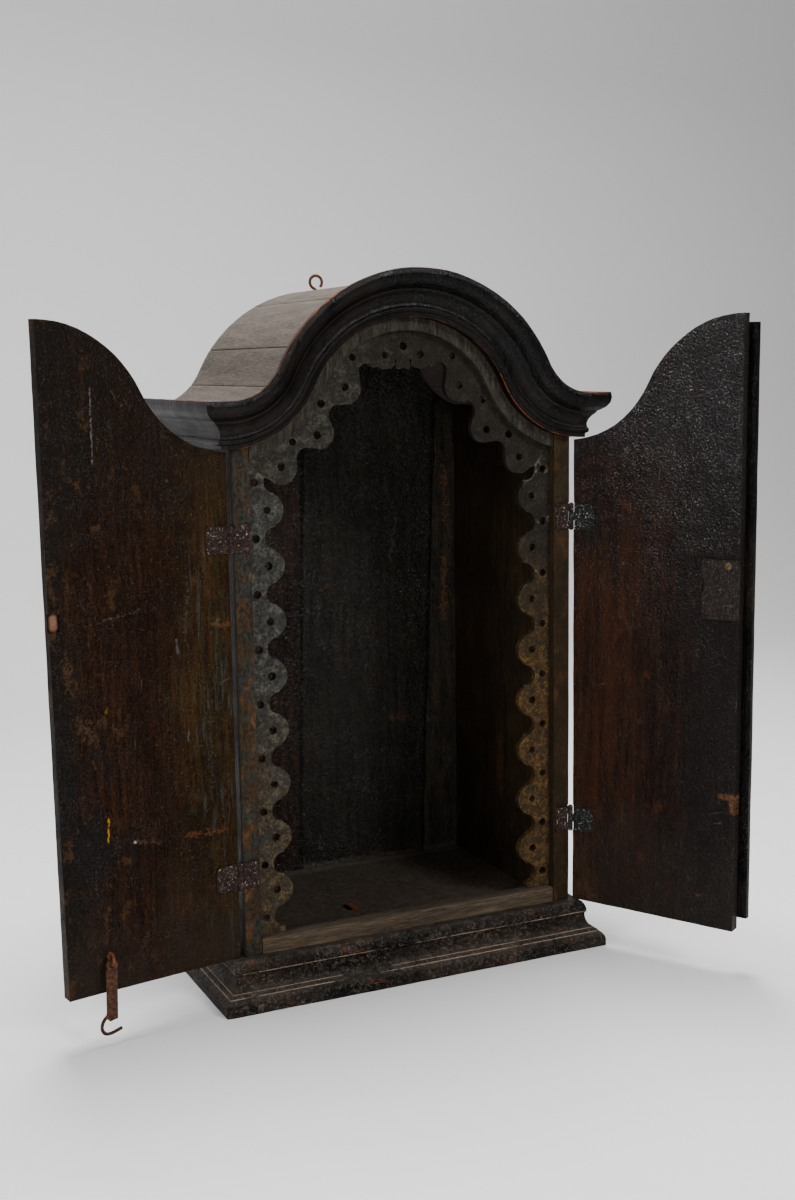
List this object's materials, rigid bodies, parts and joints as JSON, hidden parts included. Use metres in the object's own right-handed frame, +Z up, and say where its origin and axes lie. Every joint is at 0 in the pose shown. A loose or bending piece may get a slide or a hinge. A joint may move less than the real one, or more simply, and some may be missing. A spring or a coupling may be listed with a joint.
{
  "type": "folding shrine box",
  "caption": "Arched wooden travelling shrine with a moulded crown and base, scalloped fretwork round its open niche, and two doors that fold back on iron hinges.",
  "frame": {"origin": "middle of the underside of the bottom rail, on the surface that the shrine stands on", "axes": "+X to the right as one faces the open niche, +Y from the front to the back, +Z up"},
  "size_m": [0.7267, 0.4384, 0.7805],
  "materials": {
    "black_wood": "black stained wood with a worn satin sheen",
    "brown_wood": "dark brown worn wood",
    "inner_wood": "dark dusty wood inside the niche",
    "door_wood": "dark red-brown varnished wood, streaked and scratched",
    "roof_wood": "matt grey-brown dusty wood",
    "fret_paint": "worn grey-green to ochre paint on wood",
    "iron": "rusted wrought iron",
    "brass_nail": "dull brass"
  },
  "bodies": {
    "case": {"side_board_left": "black_wood", "side_board_right": "black_wood", "back_board_left": "inner_wood", "back_board_middle": "inner_wood", "back_board_right": "inner_wood", "floor_board": "inner_wood", "bottom_rail": "brown_wood", "arched_head_board": "brown_wood", "fret_strip_left": "fret_paint", "fret_strip_right": "fret_paint", "fret_arch": "fret_paint", "crown_front": "black_wood", "crown_return_left": "black_wood", "crown_return_right": "black_wood", "base_front": "black_wood", "base_side_left": "black_wood", "base_side_right": "black_wood", "roof_plank_1": "roof_wood", "roof_plank_2": "roof_wood", "roof_plank_3": "roof_wood", "roof_plank_4": "roof_wood", "roof_plank_5": "roof_wood", "roof_plank_6": "roof_wood", "roof_plank_7": "roof_wood", "roof_plank_8": "roof_wood", "roof_plank_9": "roof_wood", "roof_eye": "iron", "frame_leaf_upper_left": "iron", "hinge_pin_upper_left": "iron", "frame_leaf_lower_left": "iron", "hinge_pin_lower_left": "iron", "frame_leaf_upper_right": "iron", "hinge_pin_upper_right": "iron", "frame_leaf_lower_right": "iron", "hinge_pin_lower_right": "iron"},
    "left_door": {"door_left": "door_wood", "hook_eye": "iron", "door_leaf_upper_left": "iron", "door_leaf_lower_left": "iron"},
    "right_door": {"door_right": "door_wood", "astragal_strip": "black_wood", "lock_plate": "iron", "lock_nail_1": "iron", "lock_nail_2": "brass_nail", "lock_nail_3": "iron", "lock_nail_4": "iron", "door_leaf_upper_right": "iron", "door_leaf_lower_right": "iron"},
    "hook": {"door_hook": "iron"}
  },
  "joints": [
    {"name": "left_door_hinge", "type": "hinge", "parent": "case", "child": "left_door", "pos_m": [-0.2018, -0.01035, 0], "axis": [0, 0, 1], "range_deg": [-5.2, 169.8]},
    {"name": "right_door_hinge", "type": "hinge", "parent": "case", "child": "right_door", "pos_m": [0.2018, -0.01035, 0], "axis": [0, 0, 1], "range_deg": [-119.2, 55.8]},
    {"name": "hook_swing", "type": "hinge", "parent": "left_door", "child": "hook", "pos_m": [-0.35205, -0.04495, 0.09], "axis": [-0.9842, -0.1771, 0], "range_deg": [-3.1, 100.1]}
  ],
  "couplings": [
    {"joint": "hook_swing", "follows": "left_door_hinge", "ratio": 0.589}
  ]
}
